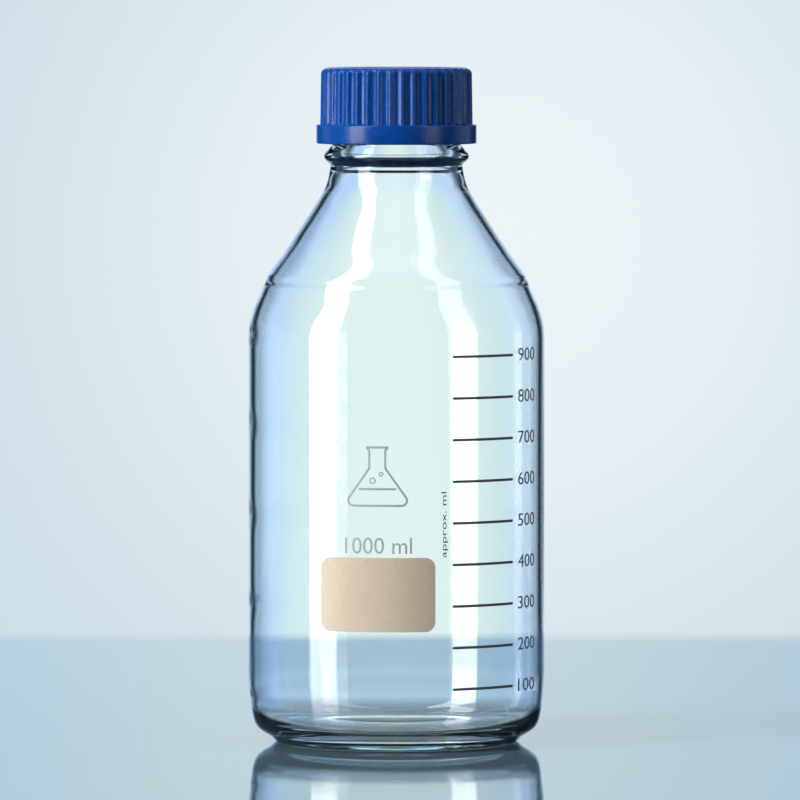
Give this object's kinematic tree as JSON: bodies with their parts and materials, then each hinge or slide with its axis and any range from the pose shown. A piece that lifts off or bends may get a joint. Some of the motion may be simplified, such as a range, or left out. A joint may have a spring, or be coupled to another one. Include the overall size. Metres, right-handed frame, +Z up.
{
  "type": "reagent bottle",
  "caption": "Round glass laboratory bottle with a sloping shoulder, threaded neck, ribbed screw cap, pouring ring, volume scale and writing field.",
  "frame": {"origin": "centre of the bottle's foot, on the surface it stands on", "axes": "+Z up along the bottle's axis; the printed front with the writing field faces -Y"},
  "size_m": [0.101, 0.1012, 0.23],
  "materials": {
    "glass": "clear, gloss",
    "cap_plastic": "blue polypropylene, satin",
    "ring_plastic": "blue polypropylene, satin",
    "disc_silicone": "matt silicone",
    "field_enamel": "fired enamel, matt",
    "scale_enamel": "fired enamel, satin"
  },
  "bodies": {
    "bottle": {"glass_bottle": "glass", "pouring_ring": "ring_plastic", "writing_field": "field_enamel", "scale_mark_100": "scale_enamel", "scale_mark_200": "scale_enamel", "scale_mark_300": "scale_enamel", "scale_mark_400": "scale_enamel", "scale_mark_500": "scale_enamel", "scale_mark_600": "scale_enamel", "scale_mark_700": "scale_enamel", "scale_mark_800": "scale_enamel", "scale_mark_900": "scale_enamel"},
    "seal": {"sealing_disc": "disc_silicone"},
    "cap": {"screw_cap": "cap_plastic"}
  },
  "joints": [
    {"name": "cap_rise", "type": "slide", "parent": "bottle", "child": "seal", "axis": [0, 0, 1], "range_m": [0, 0.028]},
    {"name": "cap_turn", "type": "hinge", "parent": "seal", "child": "cap", "pos_m": [0, 0, 0.217], "axis": [0, 0, 1], "range_deg": [0, 2520]}
  ],
  "couplings": [
    {"joint": "cap_rise", "follows": "cap_turn", "m_per_rad": 0.0006366}
  ]
}
